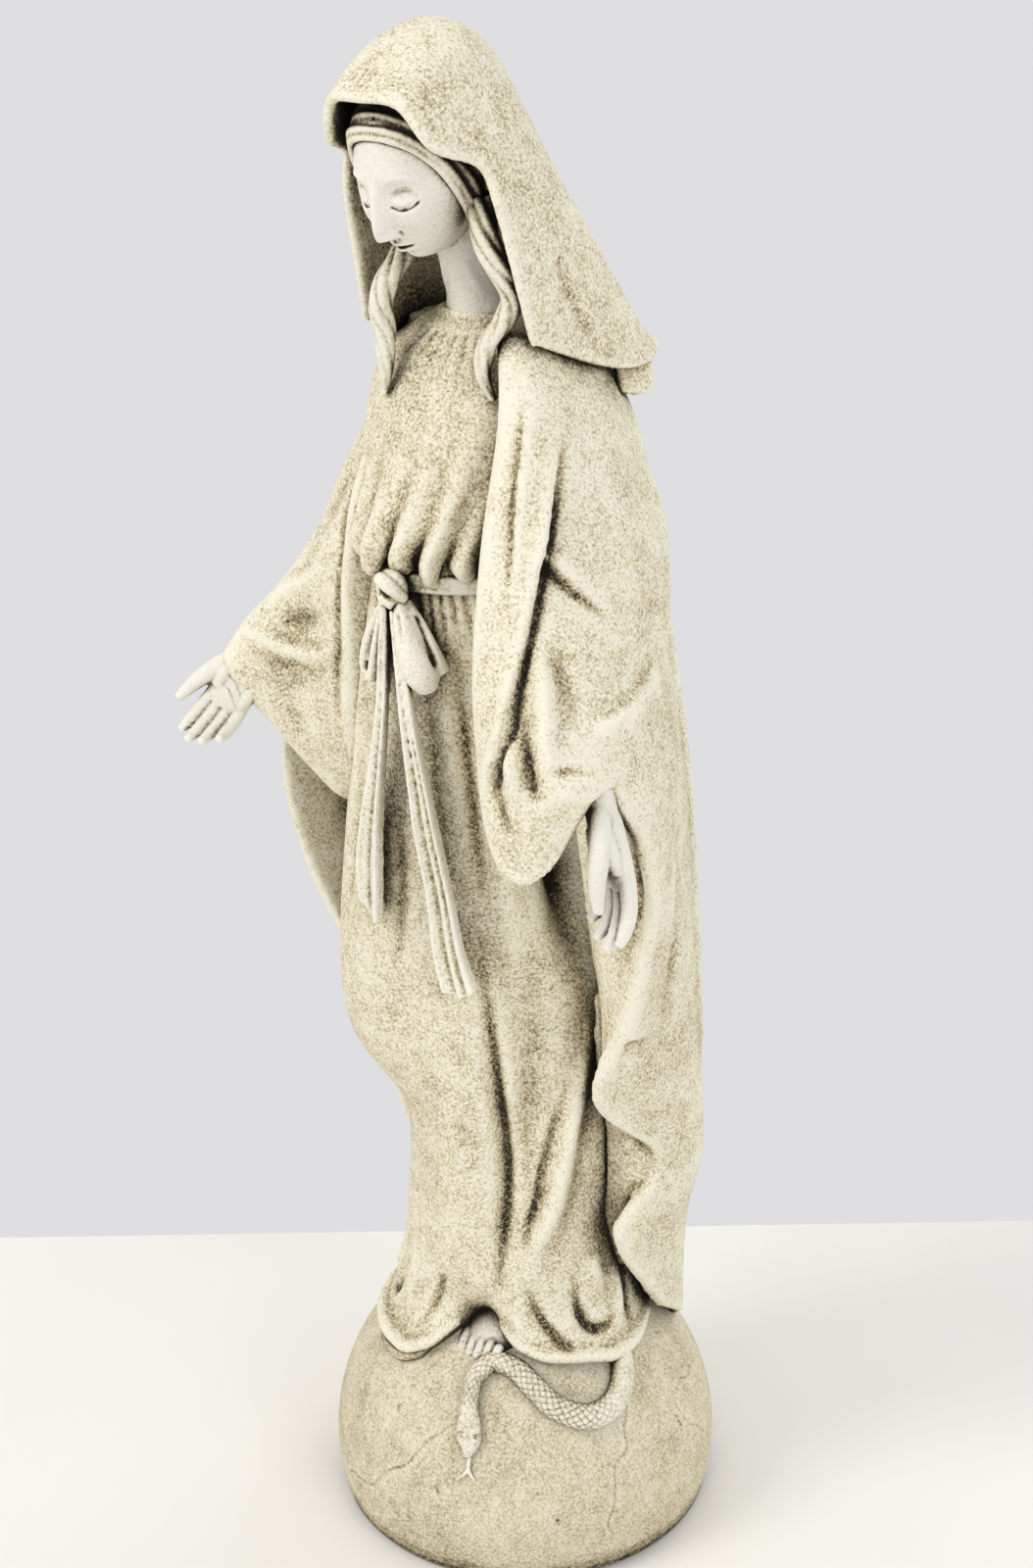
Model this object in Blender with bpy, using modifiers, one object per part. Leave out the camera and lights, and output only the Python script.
"""Standing madonna statue on a globe, cast in stone-filled resin as separate glued castings.

Metres, +Z up. The origin is the centre of the felt foot's underside, the figure faces -Y and +X is its left.
The castings are lofts and turned, bevelled or remeshed forms. Where two of them meet, the softer form is cut
back by its neighbour so that a glue line of GLUE_GAP stays between them.
"""

import math

import bmesh
import bpy
from mathutils import Vector

# Driving dimensions
HEIGHT = 0.598  # top of the veil above the table
GLOBE_RADIUS = 0.0795
FELT = 0.0012  # felt thickness; the globe stands on it
GLOBE_CENTRE = 0.0228  # height of the globe's centre: it is cut off flat below
GLOBE_WALL = 0.009
PLATE_RADIUS = 0.056
PLATE_THICKNESS = 0.0026
FELT_RADIUS = 0.071
ROD_RADIUS = 0.0030
ROD_FOOT = 0.086
ROD_TOP = 0.520
PIN_RADIUS = 0.0012
PIN_LENGTH = 0.016
BELT_HEIGHT = 0.408
BELT_HALF = 0.0036
GOWN_CORE = ((0.029, 0.372), (0.033, 0.350), (0.035, 0.200), (0.037, 0.050))  # radius and height of the gown's hollow
SHEET = 0.0042  # thickness of the draped castings
GLUE_GAP = 0.0003

# Colours of the antique stone finish
CREAM = (0.80, 0.76, 0.64, 1.0)
PALE = (0.84, 0.82, 0.74, 1.0)
WARM = (0.76, 0.71, 0.58, 1.0)
GREY = (0.74, 0.73, 0.68, 1.0)
STEEL = (0.55, 0.56, 0.58, 1.0)
FELT_GREEN = (0.10, 0.16, 0.11, 1.0)


def clear_scene():
    for obj in list(bpy.data.objects):
        bpy.data.objects.remove(obj)


def new_collection(name):
    made = bpy.data.collections.new(name)
    bpy.context.scene.collection.children.link(made)
    return made


def material(name, colour, roughness=0.85, metallic=0.0):
    found = bpy.data.materials.get(name)
    if found:
        return found
    made = bpy.data.materials.new(name)
    made.use_nodes = True
    shader = made.node_tree.nodes["Principled BSDF"]
    shader.inputs["Base Color"].default_value = colour
    shader.inputs["Roughness"].default_value = roughness
    shader.inputs["Metallic"].default_value = metallic
    return made


clear_scene()
STATUE = new_collection("madonna_statue")
CUTTERS = new_collection("cutters")


# ---------------------------------------------------------------- modelling helpers
def add_object(name, data, collection=None):
    obj = bpy.data.objects.new(name, data)
    (collection or STATUE).objects.link(obj)
    return obj


def finish(obj, mat):
    """Gives a casting its material and smooth shading with sharp edges kept."""
    obj.data.materials.clear()
    obj.data.materials.append(mat)
    obj.data.shade_smooth()
    obj.data.set_sharp_from_angle(angle=math.radians(50))
    return obj


def to_mesh_object(obj, weld=0.0):
    """Replaces obj by its evaluated mesh, with modifiers and curve bevels applied, and caps welded within weld."""
    bpy.context.view_layer.update()
    graph = bpy.context.evaluated_depsgraph_get()
    mesh = bpy.data.meshes.new_from_object(obj.evaluated_get(graph), depsgraph=graph)
    mesh.transform(obj.matrix_world)
    name, collection = obj.name, obj.users_collection[0]
    bpy.data.objects.remove(obj)
    made = add_object(name, mesh, collection)
    made.name = name
    if weld:
        edit = bmesh.new()
        edit.from_mesh(mesh)
        bmesh.ops.remove_doubles(edit, verts=edit.verts, dist=weld)
        bmesh.ops.recalc_face_normals(edit, faces=edit.faces)
        edit.to_mesh(mesh)
        edit.free()
    return made


def modified(obj, kind, **settings):
    modifier = obj.modifiers.new(kind.lower(), kind)
    for key, value in settings.items():
        setattr(modifier, key, value)
    return to_mesh_object(obj)


def spline(points, t):
    """Catmull-Rom through the points, t from 0 to 1, ends held."""
    last = len(points) - 1
    place = min(max(t, 0.0), 1.0) * last
    i = min(int(place), last - 1)
    f = place - i
    p0, p1, p2, p3 = (points[min(max(k, 0), last)] for k in (i - 1, i, i + 1, i + 2))
    return 0.5 * (2 * p1 + (p2 - p0) * f + (2 * p0 - 5 * p1 + 4 * p2 - p3) * f**2 + (3 * p1 - p0 - 3 * p2 + p3) * f**3)


def ring_spline(points, t):
    """Catmull-Rom round a closed loop of points, t from 0 to 1."""
    count = len(points)
    place = (t % 1.0) * count
    i = int(place)
    f = place - i
    p0, p1, p2, p3 = (points[k % count] for k in (i - 1, i, i + 1, i + 2))
    return 0.5 * (2 * p1 + (p2 - p0) * f + (2 * p0 - 5 * p1 + 4 * p2 - p3) * f**2 + (3 * p1 - p0 - 3 * p2 + p3) * f**3)


def grid_mesh(name, rows, closed, caps):
    """A loft: one vertex for each point of each row, rows joined by quads, round ends closed to a middle point."""
    mesh = bpy.data.meshes.new(name)
    edit = bmesh.new()
    made = [[edit.verts.new(p) for p in row] for row in rows]
    count = len(rows[0])
    for a, b in zip(made, made[1:]):
        for i in range(count if closed else count - 1):
            j = (i + 1) % count
            edit.faces.new((a[i], a[j], b[j], b[i]))
    if caps:
        for row in (made[0], made[-1]):
            middle = edit.verts.new(sum((v.co for v in row), Vector()) / count)
            for i in range(count):
                edit.faces.new((row[i], row[(i + 1) % count], middle))
    bmesh.ops.recalc_face_normals(edit, faces=edit.faces)
    edit.to_mesh(mesh)
    edit.free()
    return add_object(name, mesh)


def loft(name, sections, around=36, along=14):
    """A closed form through closed sections, each a short list of points, smoothed both ways."""
    loops = [[ring_spline(s, i / around) for i in range(around)] for s in sections]
    rows = []
    for k in range(along):
        t = k / (along - 1)
        rows.append([spline([loop[i] for loop in loops], t) for i in range(around)])
    return grid_mesh(name, rows, closed=True, caps=True)


def sheet(name, sections, across=24, along=16, thickness=SHEET):
    """A draped sheet through open sections, given its thickness towards the inside."""
    curves = [[spline(s, i / (across - 1)) for i in range(across)] for s in sections]
    rows = []
    for k in range(along):
        t = k / (along - 1)
        rows.append([spline([curve[i] for curve in curves], t) for i in range(across)])
    obj = grid_mesh(name, rows, closed=False, caps=False)
    return modified(obj, "SOLIDIFY", thickness=thickness, offset=0.0, use_even_offset=False)


def tube(name, points, radii, sides=2, samples=6):
    """A round strand along a smooth path, whose radius follows the list radii."""
    count = (len(points) - 1) * samples + 1
    curve = bpy.data.curves.new(name, "CURVE")
    curve.dimensions = "3D"
    curve.bevel_depth = 1.0
    curve.bevel_resolution = sides
    curve.use_fill_caps = True
    line = curve.splines.new("POLY")
    line.points.add(count - 1)
    for i in range(count):
        t = i / (count - 1)
        at = spline(points, t)
        line.points[i].co = (at.x, at.y, at.z, 1.0)
        line.points[i].radius = spline(radii, t)
    return to_mesh_object(add_object(name, curve), weld=1e-6)


def ball(name, centre, radii, turn=(0, 0, 0), segments=16, rings=10):
    """An ellipsoid, turned by the angles turn in degrees."""
    bpy.ops.mesh.primitive_uv_sphere_add(segments=segments, ring_count=rings, radius=1.0)
    obj = bpy.context.object
    obj.scale = radii
    obj.rotation_euler = [math.radians(a) for a in turn]
    obj.location = centre
    obj.name = name
    for old in obj.users_collection:
        old.objects.unlink(obj)
    STATUE.objects.link(obj)
    return to_mesh_object(obj)


def rod(name, start, end, radius, sides=16):
    """A round rod between two points."""
    start, end = Vector(start), Vector(end)
    bpy.ops.mesh.primitive_cylinder_add(vertices=sides, radius=radius, depth=(end - start).length)
    obj = bpy.context.object
    obj.rotation_mode = "QUATERNION"
    obj.rotation_quaternion = (end - start).to_track_quat("Z", "Y")
    obj.location = (start + end) / 2
    obj.name = name
    for old in obj.users_collection:
        old.objects.unlink(obj)
    STATUE.objects.link(obj)
    return to_mesh_object(obj)


def turned(name, profile, steps=32):
    """A turned form: the profile's (radius, height) points run down its outer side."""
    mesh = bpy.data.meshes.new(name)
    mesh.from_pydata([(r, 0, z) for r, z in profile], [(i, i + 1) for i in range(len(profile) - 1)], [])
    obj = add_object(name, mesh)
    return modified(
        obj, "SCREW", axis="Z", steps=steps, render_steps=steps, use_merge_vertices=True, merge_threshold=1e-5
    )


def moulded(name, pieces, voxel, faces):
    """Runs several overlapping closed forms together into one casting of about that many triangles."""
    joined = bmesh.new()
    for piece in pieces:
        joined.from_mesh(piece.data)
        bpy.data.objects.remove(piece)
    mesh = bpy.data.meshes.new(name)
    joined.to_mesh(mesh)
    joined.free()
    obj = add_object(name, mesh)
    obj = modified(obj, "REMESH", mode="VOXEL", voxel_size=voxel)
    obj.name = name
    now = sum(len(p.vertices) - 2 for p in obj.data.polygons)
    obj = modified(obj, "DECIMATE", ratio=min(1.0, faces / now))
    obj.name = name
    return obj


def main_body(obj):
    """Removes the crumbs that a cut leaves, keeping the largest closed body."""
    edit = bmesh.new()
    edit.from_mesh(obj.data)
    seen, bodies = set(), []
    for start in edit.faces:
        if start in seen:
            continue
        body, queue = [], [start]
        seen.add(start)
        while queue:
            face = queue.pop()
            body.append(face)
            for edge in face.edges:
                if len(edge.link_faces) != 2:
                    continue
                for other in edge.link_faces:
                    if other not in seen:
                        seen.add(other)
                        queue.append(other)
        bodies.append(body)
    bodies.sort(key=lambda body: sum(face.calc_area() for face in body))
    crumbs = [face for body in bodies[:-1] for face in body]
    bmesh.ops.delete(edit, geom=crumbs, context="FACES")
    edit.to_mesh(obj.data)
    edit.free()


def grown_copy(obj, gap):
    """A cutter: the neighbour's uncut shape, standing proud of it by the gap."""
    cutter = add_object("cut_" + obj.name, obj.data.copy(), CUTTERS)
    cutter = modified(cutter, "DISPLACE", strength=gap, mid_level=0.0)
    cutter.hide_render = True
    cutter.display_type = "WIRE"
    return cutter


def carve(name, *neighbours):
    """Cuts the casting back from its neighbours, leaving a glue gap."""
    for neighbour in neighbours:
        obj = bpy.data.objects[name]
        cutter = bpy.data.objects["cut_" + neighbour]
        obj = modified(obj, "BOOLEAN", operation="DIFFERENCE", object=cutter, solver="EXACT", use_self=True)
        obj.name = name
        main_body(obj)
    return bpy.data.objects[name]


def cut_away(name, cutter):
    """Cuts a helper form out of the casting and discards the helper."""
    cutter.hide_render = True
    cutter.display_type = "WIRE"
    obj = modified(bpy.data.objects[name], "BOOLEAN", operation="DIFFERENCE", object=cutter, solver="EXACT")
    obj.name = name
    bpy.data.objects.remove(cutter)
    main_body(obj)
    return obj


def ellipse(centre, across, deep, z, count=12, tilt=0.0):
    """A level section of a draped form: a ring of points starting at the front, running to the figure's left.

    tilt raises the back of the section by that slope."""
    ring = []
    for i in range(count):
        a = 2 * math.pi * i / count
        x, y = across * math.sin(a), -deep * math.cos(a)
        ring.append(Vector((centre[0] + x, centre[1] + y, z + tilt * y)))
    return ring


def points(*triples):
    return [Vector(t) for t in triples]


# ---------------------------------------------------------------- globe, plate and felt
def globe_height(radius, sphere=GLOBE_RADIUS):
    """Height of the globe's surface at this distance from its axis."""
    return GLOBE_CENTRE + math.sqrt(sphere**2 - radius**2)


def make_globe():
    inner = GLOBE_RADIUS - GLOBE_WALL
    lowest = -math.asin((GLOBE_CENTRE - FELT - GLUE_GAP) / GLOBE_RADIUS)
    outline = []
    steps = 12
    for i in range(steps + 1):
        a = math.pi / 2 + (lowest - math.pi / 2) * i / steps
        outline.append((GLOBE_RADIUS * math.cos(a), GLOBE_CENTRE + GLOBE_RADIUS * math.sin(a)))
    bottom = FELT + GLUE_GAP
    seat = PLATE_RADIUS + GLUE_GAP
    roof = bottom + PLATE_THICKNESS + GLUE_GAP
    mouth = PLATE_RADIUS - 0.005
    outline += [(seat, bottom), (seat, roof), (mouth, roof)]
    cavity_top = GLOBE_CENTRE + inner
    for i in range(1, 8):
        a = math.acos(mouth / inner) + (math.pi / 2 - math.acos(mouth / inner)) * i / 7
        outline.append((inner * math.cos(a) if i < 7 else 0.0, GLOBE_CENTRE + inner * math.sin(a)))
    outline[-1] = (0.0, cavity_top)
    outline[0] = (0.0, GLOBE_CENTRE + GLOBE_RADIUS)
    turned("globe_base", outline)
    plate_low = FELT + GLUE_GAP
    turned(
        "base_plate",
        [(0, plate_low + PLATE_THICKNESS), (PLATE_RADIUS, plate_low + PLATE_THICKNESS), (PLATE_RADIUS, plate_low), (0, plate_low)],
    )
    turned("base_felt", [(0, FELT), (FELT_RADIUS, FELT), (FELT_RADIUS, 0), (0, 0)])


# ---------------------------------------------------------------- serpent
def on_globe(turn, lift, clearance):
    """A point above the globe: turn degrees from the front towards +X, lift degrees above its equator."""
    a, b = math.radians(turn), math.radians(lift)
    r = GLOBE_RADIUS + clearance
    return Vector((r * math.cos(b) * math.sin(a), -r * math.cos(b) * math.cos(a), GLOBE_CENTRE + r * math.sin(b)))


def make_serpent():
    lie = 0.0026
    neck = [(22, 28), (20, 37), (20, 47), (27, 51), (36, 49), (44, 43), (50, 38), (60, 34), (72, 35), (80, 41), (84, 48), (88, 54)]
    route = [on_globe(turn, lift, lie) for turn, lift in neck]
    body = tube("serpent_strand", route, [0.0024, 0.0030, 0.0040, 0.0044, 0.0046, 0.0048, 0.0050, 0.0050, 0.0050, 0.0048, 0.0046, 0.0044], sides=3, samples=4)
    head = tube(
        "serpent_snout", [on_globe(22, lift, lie) for lift in (24, 27, 31, 35, 39)], [0.0016, 0.0028, 0.0050, 0.0046, 0.0030], sides=3
    )
    moulded("serpent_body", [body, head], voxel=0.0009, faces=700)
    curl = [(-42, 55), (-44, 49), (-36, 45), (-24, 42), (-14, 43), (-8, 47), (-6, 53)]
    tail = tube(
        "serpent_tail", [on_globe(turn, lift, lie * 0.7) for turn, lift in curl],
        [0.0030, 0.0032, 0.0032, 0.0030, 0.0026, 0.0022, 0.0016], sides=2, samples=3,
    )
    tail.name = "serpent_tail"
    fork = [
        tube("fork_stem", [on_globe(22.3, lift, 0.0008) for lift in (23.6, 21.5, 19.5)], [0.0009, 0.0008, 0.0008]),
        tube("fork_a", [on_globe(22.3 + s, 20.2 - 1.6 * s, 0.0008) for s in (0, 1, 1.8)], [0.0008, 0.0006, 0.0005]),
        tube("fork_b", [on_globe(22.3 - s, 20.2 - 1.6 * s, 0.0008) for s in (0, 1, 1.8)], [0.0008, 0.0006, 0.0005]),
    ]
    moulded("serpent_tongue", fork, voxel=0.00035, faces=200)


# ---------------------------------------------------------------- gown
GOWN = (  # height, centre x, centre y, half width, half depth, knee bulge
    (0.055, 0.000, 0.000, 0.051, 0.050, 0.000),
    (0.090, 0.000, 0.000, 0.054, 0.052, 0.000),
    (0.130, -0.001, 0.000, 0.048, 0.046, 0.000),
    (0.180, -0.002, -0.001, 0.046, 0.044, 0.000),
    (0.212, -0.002, -0.002, 0.048, 0.045, 0.018),
    (0.245, -0.003, -0.003, 0.049, 0.046, 0.018),
    (0.300, -0.004, -0.006, 0.050, 0.047, 0.010),
    (0.350, -0.005, -0.009, 0.047, 0.046, 0.003),
    (0.390, -0.005, -0.012, 0.041, 0.044, 0.000),
    (BELT_HEIGHT - GLUE_GAP, -0.005, -0.014, 0.036, 0.041, 0.000),
)
FOLD_COUNT = 9
KNEE_TURN = math.radians(-50)  # the knee pushes the cloth out towards the front right


def make_gown():
    around, rows = 40, []
    for z, cx, cy, across, deep, knee in GOWN:
        share = min(1.0, max(0.0, (BELT_HEIGHT - z) / (BELT_HEIGHT - 0.09)))
        ring = []
        for i in range(around):
            a = 2 * math.pi * i / around
            swell = 1.0 + (0.02 + 0.05 * share) * math.cos(FOLD_COUNT * a + 0.6 + 1.2 * share)
            off = math.remainder(a - KNEE_TURN, 2 * math.pi)
            bulge = knee * math.exp(-((off / 0.65) ** 2))
            x, y = math.sin(a), -math.cos(a)
            ring.append(Vector((cx + (across * swell + bulge) * x, cy + (deep * swell + bulge) * y, z)))
        rows.append(ring)
    smooth = []
    along = 12
    for k in range(along):
        t = k / (along - 1)
        smooth.append([spline([row[i] for row in rows], t) for i in range(around)])
    for i in range(around):
        smooth[-1][i].z = BELT_HEIGHT - GLUE_GAP
    grid_mesh("gown_skirt", smooth, closed=True, caps=True)
    hollow = turned("gown_hollow", [(0.0, GOWN_CORE[0][1]), *GOWN_CORE, (0.0, GOWN_CORE[-1][1])], steps=24)
    hollow.location = (-0.002, -0.004, 0.0)
    cut_away("gown_skirt", hollow)


def make_bodice():
    rings = [
        ellipse((-0.005, -0.014), 0.036, 0.041, BELT_HEIGHT),
        ellipse((-0.005, -0.014), 0.042, 0.045, BELT_HEIGHT + 0.010),
        ellipse((-0.004, -0.011), 0.045, 0.042, BELT_HEIGHT + 0.032),
        ellipse((-0.003, -0.009), 0.047, 0.038, BELT_HEIGHT + 0.055),
        ellipse((-0.002, -0.008), 0.045, 0.029, BELT_HEIGHT + 0.074),
        ellipse((-0.001, -0.010), 0.030, 0.019, BELT_HEIGHT + 0.086),
        ellipse((0.000, -0.011), 0.017, 0.014, BELT_HEIGHT + 0.091),
    ]
    obj = loft("bodice", rings, around=28, along=11)
    for v in obj.data.vertices:
        v.co.z = max(v.co.z, BELT_HEIGHT)


def make_sash():
    """The belt, its knot, two loops and two hanging tails."""
    outer = [ellipse((-0.005, -0.014), 0.0375, 0.0425, BELT_HEIGHT + s * BELT_HALF, count=12) for s in (-1, 1)]
    loft("sash_band", [outer[0], outer[1]], around=28, along=2)
    hole = [ellipse((-0.005, -0.014), 0.0345, 0.0395, BELT_HEIGHT + s * 0.02, count=12) for s in (-1, 1)]
    cutter = loft("sash_hole", [hole[0], hole[1]], around=28, along=2)
    cut_away("sash_band", cutter)
    ball("sash_knot", (-0.0035, -0.0620, BELT_HEIGHT - 0.001), (0.0060, 0.0050, 0.0068))
    tube(
        "sash_loop_right",
        points((-0.006, -0.0620, 0.4020), (-0.013, -0.0605, 0.3930), (-0.020, -0.0580, 0.3800), (-0.023, -0.0560, 0.3690)),
        [0.0018, 0.0034, 0.0052, 0.0034], sides=4, samples=4,
    )
    tube(
        "sash_loop_left",
        points((0.001, -0.0630, 0.4020), (0.004, -0.0640, 0.3930), (0.008, -0.0625, 0.3800), (0.009, -0.0610, 0.3700)),
        [0.0018, 0.0044, 0.0072, 0.0048], sides=4, samples=4,
    )
    ribbon(
        "sash_tail_right",
        points((-0.006, -0.0635, 0.4010), (-0.007, -0.0640, 0.3800), (-0.011, -0.0645, 0.3480), (-0.017, -0.0635, 0.3180),
               (-0.021, -0.0625, 0.2800)),
        (0.0020, 0.0032, 0.0046, 0.0056, 0.0062), 0.0046, 10,
    )
    ribbon(
        "sash_tail_left",
        points((-0.002, -0.0640, 0.4010), (-0.001, -0.0655, 0.3730), (0.003, -0.0655, 0.3420), (0.008, -0.0630, 0.3100),
               (0.013, -0.0610, 0.2750), (0.015, -0.0600, 0.2490)),
        (0.0024, 0.0050, 0.0070, 0.0080, 0.0092, 0.0108), 0.0052, 20,
    )


def ribbon(name, path, half_widths, thickness, turn):
    """A hanging ribbon: bowed sections along a path, facing turn degrees to the figure's left of straight ahead."""
    wide = Vector((math.cos(math.radians(turn)), math.sin(math.radians(turn)), 0.0))
    out = Vector((math.sin(math.radians(turn)), -math.cos(math.radians(turn)), 0.0))
    count = 12
    rows = []
    for k in range(count):
        t = k / (count - 1)
        at, half = spline(path, t), spline(list(half_widths), t)
        deep = thickness / 2
        outline = ((-half, deep * 0.4), (0, deep), (half, deep * 0.4), (half, -deep), (0, -deep * 1.3), (-half, -deep))
        rows.append([at + wide * across + out * proud for across, proud in outline])
    return grid_mesh(name, rows, closed=True, caps=True)


# ---------------------------------------------------------------- mantle
def make_mantle_back():
    """The cloak behind and beside the figure, each section running from its right front edge round the back."""
    sections = [
        points((-0.034, -0.014, 0.492), (-0.030, -0.002, 0.494), (-0.018, 0.006, 0.496), (0.000, 0.009, 0.497),
               (0.018, 0.006, 0.496), (0.030, -0.002, 0.494), (0.034, -0.014, 0.492)),
        points((-0.047, -0.014, 0.452), (-0.044, 0.010, 0.454), (-0.030, 0.028, 0.455), (0.000, 0.037, 0.455),
               (0.030, 0.028, 0.455), (0.044, 0.010, 0.454), (0.047, -0.014, 0.452)),
        points((-0.066, -0.016, 0.390), (-0.060, 0.010, 0.390), (-0.040, 0.031, 0.390), (0.000, 0.043, 0.390),
               (0.040, 0.031, 0.390), (0.058, 0.010, 0.390), (0.064, -0.016, 0.390)),
        points((-0.094, -0.030, 0.325), (-0.074, 0.008, 0.320), (-0.044, 0.037, 0.320), (0.000, 0.049, 0.320),
               (0.042, 0.037, 0.320), (0.066, 0.012, 0.320), (0.084, -0.032, 0.330)),
        points((-0.090, -0.026, 0.268), (-0.072, 0.012, 0.252), (-0.044, 0.043, 0.240), (0.000, 0.055, 0.240),
               (0.042, 0.045, 0.240), (0.068, 0.014, 0.250), (0.078, -0.026, 0.265)),
        points((-0.066, -0.014, 0.212), (-0.062, 0.016, 0.195), (-0.042, 0.046, 0.185), (0.000, 0.057, 0.180),
               (0.042, 0.049, 0.180), (0.064, 0.022, 0.190), (0.060, -0.024, 0.200)),
        points((-0.060, -0.008, 0.165), (-0.058, 0.018, 0.145), (-0.040, 0.044, 0.125), (0.000, 0.055, 0.115),
               (0.038, 0.048, 0.115), (0.058, 0.024, 0.125), (0.058, -0.010, 0.145)),
        points((-0.054, 0.004, 0.125), (-0.052, 0.026, 0.095), (-0.036, 0.043, 0.070), (0.000, 0.054, 0.062),
               (0.034, 0.047, 0.066), (0.052, 0.032, 0.078), (0.058, 0.012, 0.095)),
    ]
    cloth = sheet("mantle_back", sections, across=33, along=24, thickness=0.0075)
    moulded("mantle_back", [cloth], voxel=0.0020, faces=1100)


def make_mantle_left():
    """The cloak over the left arm: from the shoulder down, with a lobe that hangs in front of the wrist."""
    sections = [
        points((0.020, -0.032, 0.498), (0.035, -0.031, 0.494), (0.040, -0.012, 0.487), (0.034, 0.004, 0.485),
               (0.022, 0.008, 0.489), (0.016, -0.008, 0.496)),
        points((0.030, -0.052, 0.470), (0.050, -0.046, 0.465), (0.056, -0.014, 0.458), (0.046, 0.012, 0.455),
               (0.034, 0.014, 0.458), (0.026, -0.018, 0.466)),
        points((0.034, -0.070, 0.430), (0.060, -0.064, 0.428), (0.072, -0.030, 0.425), (0.062, 0.010, 0.425),
               (0.046, 0.016, 0.428), (0.032, -0.030, 0.430)),
        points((0.040, -0.080, 0.390), (0.070, -0.082, 0.390), (0.086, -0.050, 0.388), (0.074, -0.004, 0.388),
               (0.054, 0.006, 0.390), (0.044, -0.040, 0.390)),
        points((0.048, -0.084, 0.358), (0.080, -0.090, 0.360), (0.096, -0.064, 0.366), (0.084, -0.022, 0.366),
               (0.066, -0.022, 0.362), (0.054, -0.052, 0.358)),
        points((0.058, -0.084, 0.332), (0.074, -0.088, 0.330), (0.086, -0.074, 0.338), (0.080, -0.058, 0.342),
               (0.070, -0.058, 0.338), (0.062, -0.068, 0.334)),
    ]
    arm = loft("mantle_left", sections, around=40, along=20)
    moulded("mantle_left", [arm], voxel=0.0020, faces=640)


# The right arm is held out: sections across it from the body to the wrist, each from its top round its front edge
RIGHT_SLEEVE = (  # x, top height, bottom height, front y, back y
    (-0.024, 0.4940, 0.4500, -0.034, 0.010),
    (-0.042, 0.4700, 0.3400, -0.046, 0.006),
    (-0.056, 0.4410, 0.3120, -0.048, -0.004),
    (-0.070, 0.4110, 0.3220, -0.050, -0.012),
    (-0.083, 0.3900, 0.3400, -0.056, -0.022),
    (-0.092, 0.3770, 0.3520, -0.060, -0.034),
    (-0.0955, 0.3710, 0.3600, -0.058, -0.042),
)


def make_mantle_right():
    """The cloak over the right arm, whose lower edge falls from the wrist back to the hip."""
    sections = []
    for x, top, bottom, front, back in RIGHT_SLEEVE:
        middle, height = (front + back) / 2, top - bottom
        sections.append(points(
            (x, middle + 0.002, top), (x, front + 0.006, top - 0.22 * height), (x, front, top - 0.55 * height),
            (x, front + 0.003, bottom + 0.12 * height), (x, middle - 0.004, bottom), (x, back - 0.004, bottom + 0.15 * height),
            (x, back, bottom + 0.45 * height), (x, back - 0.003, top - 0.20 * height),
        ))
    arm = loft("mantle_right", sections, around=40, along=20)
    moulded("mantle_right", [arm], voxel=0.0020, faces=640)


# ---------------------------------------------------------------- veil, head and hair
def make_veil():
    """The veil: rows run from its front rim over the crown and down the back to its pointed hem."""
    half = [  # each row from the left shoulder up to the middle line
        points((0.039, -0.034, 0.493), (0.036, -0.040, 0.514), (0.030, -0.047, 0.545), (0.019, -0.064, 0.568),
               (0.000, -0.080, 0.577)),
        points((0.043, -0.020, 0.487), (0.037, -0.026, 0.512), (0.033, -0.036, 0.550), (0.020, -0.048, 0.580),
               (0.000, -0.055, 0.590)),
        points((0.046, -0.006, 0.482), (0.039, -0.013, 0.510), (0.031, -0.027, 0.550), (0.019, -0.034, 0.582),
               (0.000, -0.035, 0.5952)),
        points((0.047, 0.008, 0.479), (0.039, 0.003, 0.508), (0.027, -0.011, 0.545), (0.015, -0.018, 0.571),
               (0.000, -0.013, 0.5830)),
        points((0.044, 0.024, 0.475), (0.034, 0.019, 0.498), (0.023, 0.008, 0.525), (0.012, 0.004, 0.545),
               (0.000, 0.004, 0.552)),
        points((0.039, 0.034, 0.474), (0.028, 0.032, 0.488), (0.018, 0.026, 0.503), (0.009, 0.024, 0.513),
               (0.000, 0.023, 0.517)),
        points((0.034, 0.041, 0.474), (0.025, 0.043, 0.478), (0.016, 0.043, 0.482), (0.008, 0.043, 0.484),
               (0.000, 0.043, 0.485)),
    ]
    rows = [row + [Vector((-0.93 * p.x, p.y, p.z)) for p in reversed(row[:-1])] for row in half]
    cloth = sheet("veil", rows, across=41, along=24, thickness=0.0044)
    moulded("veil", [cloth], voxel=0.0014, faces=1150)


HEAD = Vector((0.0, -0.036, 0.553))


def make_head():
    """A plain egg-shaped head, bowed forwards, on its neck."""
    pieces = [
        ball("skull", HEAD + Vector((0, -0.002, 0.004)), (0.0220, 0.0232, 0.0260), turn=(-20, 0, 0)),
        ball("jaw", HEAD + Vector((0, -0.008, -0.011)), (0.0165, 0.0172, 0.0235), turn=(-14, 0, 0)),
        tube("nose", points(tuple(HEAD + Vector((0, -0.0205, 0.004))), tuple(HEAD + Vector((0, -0.0275, -0.008)))), [0.0018, 0.0030]),
        tube("neck", points((0.0, -0.011, 0.492), (0.0, -0.017, 0.515), (0.0, -0.026, 0.540)), [0.0150, 0.0120, 0.0130], sides=4),
        ball("collar", (0.0, -0.011, 0.496), (0.019, 0.015, 0.007)),
    ]
    moulded("head", pieces, voxel=0.0016, faces=900)


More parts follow.
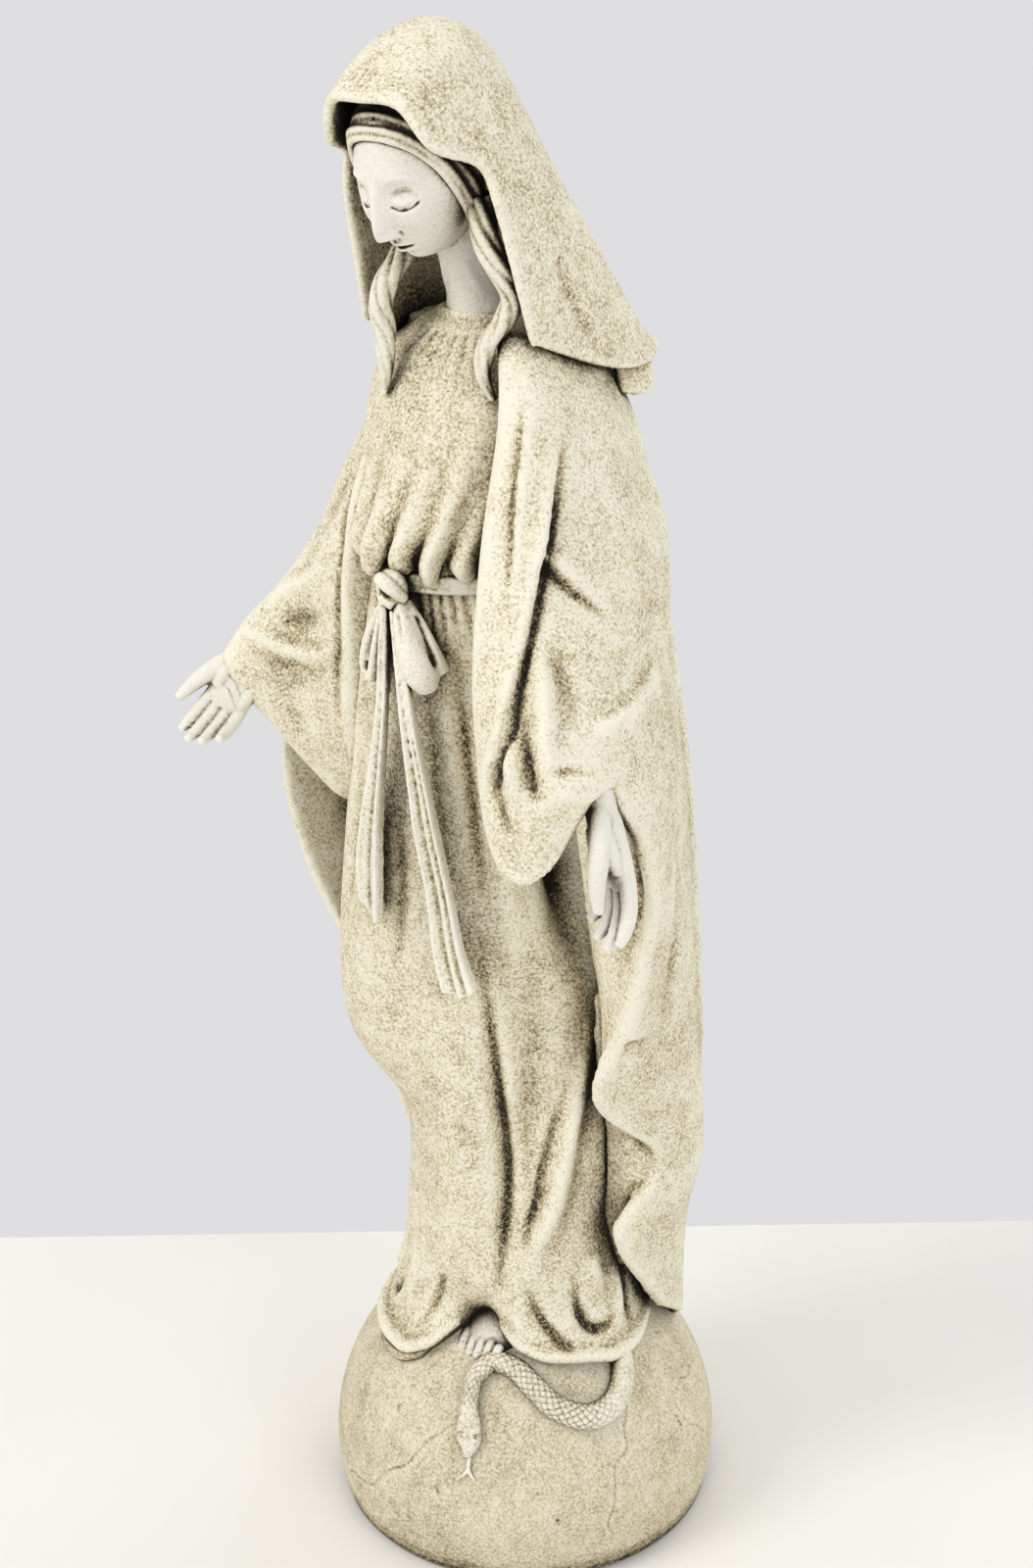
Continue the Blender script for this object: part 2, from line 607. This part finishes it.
def make_hair():
    """Parted front hair and a waved lock on each side of the neck."""
    for side, name in ((-1, "right"), (1, "left")):
        s = side
        tube(
            f"hair_front_{name}",
            points((s * 0.001, -0.066, 0.572), (s * 0.010, -0.064, 0.569), (s * 0.018, -0.055, 0.561), (s * 0.023, -0.045, 0.548),
                   (s * 0.025, -0.037, 0.534)),
            [0.0026, 0.0042, 0.0042, 0.0040, 0.0030], sides=2, samples=3,
        )
        strands = [
            tube("lock_a", points((s * 0.022, -0.030, 0.534), (s * 0.021, -0.034, 0.520), (s * 0.026, -0.036, 0.506),
                                  (s * 0.027, -0.040, 0.492), (s * 0.023, -0.046, 0.480), (s * 0.025, -0.050, 0.466)),
                 [0.0040, 0.0046, 0.0050, 0.0050, 0.0040, 0.0014], sides=3, samples=4),
            tube("lock_b", points((s * 0.019, -0.024, 0.530), (s * 0.018, -0.027, 0.514), (s * 0.022, -0.030, 0.500),
                                  (s * 0.020, -0.038, 0.488), (s * 0.017, -0.042, 0.476)),
                 [0.0036, 0.0042, 0.0044, 0.0036, 0.0014], sides=3, samples=4),
        ]
        moulded(f"hair_lock_{name}", strands, voxel=0.0011, faces=420)


# ---------------------------------------------------------------- hands and foot
WRIST_LEFT = Vector((0.087, -0.062, 0.352))
WRIST_RIGHT = Vector((-0.087, -0.051, 0.366))


def make_hand(name, wrist, along, palm_out, finger_length):
    """A hand in its own directions: along the fingers, out of the palm, and across towards the thumb."""
    along, palm_out = Vector(along).normalized(), Vector(palm_out)
    palm_out = (palm_out - along * palm_out.dot(along)).normalized()
    across = palm_out.cross(along) * (1 if name.endswith("left") else -1)

    def at(forward, sideways, out):
        return wrist + along * forward + across * sideways + palm_out * out

    pieces = [
        tube("wrist", [at(-0.012, 0, 0), at(0.002, 0, 0), at(0.012, 0, 0)], [0.0062, 0.0055, 0.0060], sides=4),
        tube("palm_a", [at(0.004, 0.003, 0), at(0.014, 0.0045, 0), at(0.022, 0.0045, 0)], [0.0048, 0.0050, 0.0042], sides=4),
        tube("palm_b", [at(0.004, -0.003, 0), at(0.013, -0.0045, 0), at(0.020, -0.0045, 0)], [0.0048, 0.0046, 0.0038], sides=4),
    ]
    for i, (sideways, length) in enumerate(((0.0066, 0.88), (0.0022, 1.0), (-0.0022, 0.95), (-0.0062, 0.76))):
        tip = finger_length * length
        pieces.append(tube(
            f"finger_{i}",
            [at(0.018, sideways * 0.9, 0), at(0.018 + tip * 0.5, sideways, 0.0012), at(0.018 + tip, sideways * 0.96, 0.0046)],
            [0.0027, 0.0024, 0.0016], sides=3,
        ))
    pieces.append(tube(
        "thumb", [at(0.003, 0.005, 0.001), at(0.010, 0.0105, 0.003), at(0.019, 0.0125, 0.005)], [0.0040, 0.0032, 0.0020], sides=3
    ))
    moulded(name, pieces, voxel=0.0009, faces=640)


def make_foot():
    """The bare forefoot that shows under the hem, on the serpent."""
    pieces = [ball("instep", (0.012, -0.030, 0.0900), (0.0110, 0.0160, 0.0070), turn=(28, 0, -18))]
    for i in range(5):
        across = -0.0082 + i * 0.0042
        big = 1.0 if i else 1.25
        base = Vector((0.0125 + across * 0.95, -0.0390 - across * 0.30, 0.0885))
        pieces.append(tube(
            f"toe_{i}", [base, base + Vector((0.0020, -0.0055, -0.0022)), base + Vector((0.0030, -0.0085, -0.0052))],
            [0.0026 * big, 0.0027 * big, 0.0019 * big], sides=3, samples=3,
        ))
    moulded("foot", pieces, voxel=0.0010, faces=700)


# ---------------------------------------------------------------- assembly
def make_all():
    make_globe()
    make_serpent()
    make_gown()
    make_bodice()
    make_sash()
    make_mantle_back()
    make_mantle_left()
    make_mantle_right()
    make_veil()
    make_head()
    make_hair()
    make_hand("hand_left", WRIST_LEFT, (0.16, -0.28, -0.95), (-0.55, -0.83, 0.10), 0.021)
    make_hand("hand_right", WRIST_RIGHT, (-0.40, -0.42, -0.81), (0.45, -0.85, 0.25), 0.021)
    make_foot()
    rod("core_rod", (0, -0.006, ROD_FOOT), (0, -0.014, ROD_TOP), ROD_RADIUS)
    rod("wrist_pin_left", WRIST_LEFT + Vector((-0.001, 0.002, 0.014)), WRIST_LEFT + Vector((0.001, -0.002, -0.004)), PIN_RADIUS)
    rod("wrist_pin_right", WRIST_RIGHT + Vector((0.003, 0.004, 0.014)), WRIST_RIGHT + Vector((-0.001, -0.002, -0.004)), PIN_RADIUS)


def fit_together():
    """Cuts each casting back from the ones that keep their shape."""
    for obj in list(STATUE.objects):
        grown_copy(obj, GLUE_GAP)
    carve("globe_base", "core_rod")
    carve("serpent_body", "globe_base")
    carve("serpent_tail", "globe_base", "serpent_body")
    carve("serpent_tongue", "globe_base", "serpent_body")
    carve("foot", "globe_base", "serpent_body")
    carve("gown_skirt", "globe_base", "core_rod", "foot", "serpent_body", "serpent_tail", "sash_band")
    carve("bodice", "core_rod", "sash_band")
    carve("head", "core_rod", "bodice")
    carve("sash_knot", "sash_band", "bodice", "gown_skirt")
    for name in ("sash_loop_left", "sash_loop_right"):
        carve(name, "sash_knot", "sash_band", "gown_skirt")
    carve("sash_loop_right", "sash_loop_left")
    for name in ("sash_tail_left", "sash_tail_right"):
        carve(name, "sash_knot", "sash_band", "gown_skirt", "sash_loop_left", "sash_loop_right")
    carve("sash_tail_right", "sash_tail_left")
    for side in ("left", "right"):
        carve(f"hand_{side}", f"wrist_pin_{side}")
        carve(f"hair_front_{side}", "head")
        carve(f"hair_lock_{side}", "head", "bodice", f"hair_front_{side}")
    carve("hair_front_left", "hair_front_right")
    carve("mantle_back", "globe_base", "serpent_body", "gown_skirt", "bodice", "head", "hair_lock_left", "hair_lock_right")
    for side in ("left", "right"):
        carve(f"mantle_{side}", "bodice", "mantle_back", "head", "gown_skirt", "sash_band", f"hand_{side}",
              f"wrist_pin_{side}", f"hair_lock_{side}")
    carve("veil", "head", "hair_front_left", "hair_front_right", "hair_lock_left", "hair_lock_right", "mantle_back",
          "mantle_left", "mantle_right", "bodice")
    for cutter in list(CUTTERS.objects):
        bpy.data.objects.remove(cutter)


FINISHES = {
    "stone_cream": (CREAM, ("gown_skirt", "bodice", "foot")),
    "stone_pale": (PALE, ("head", "hand_left", "hand_right", "sash_band", "sash_knot", "sash_loop_left", "sash_loop_right",
                          "sash_tail_left", "sash_tail_right", "serpent_body", "serpent_tail", "serpent_tongue")),
    "stone_warm": (WARM, ("mantle_back", "mantle_left", "mantle_right", "veil")),
    "stone_hair": (GREY, ("hair_front_left", "hair_front_right", "hair_lock_left", "hair_lock_right")),
    "stone_globe": (CREAM, ("globe_base", "base_plate")),
    "steel": (STEEL, ("core_rod", "wrist_pin_left", "wrist_pin_right")),
    "felt": (FELT_GREEN, ("base_felt",)),
}


def paint():
    for name, (colour, members) in FINISHES.items():
        metal = name == "steel"
        for member in members:
            finish(bpy.data.objects[member], material(name, colour, 0.35 if metal else 0.88, 1.0 if metal else 0.0))


make_all()
fit_together()
paint()
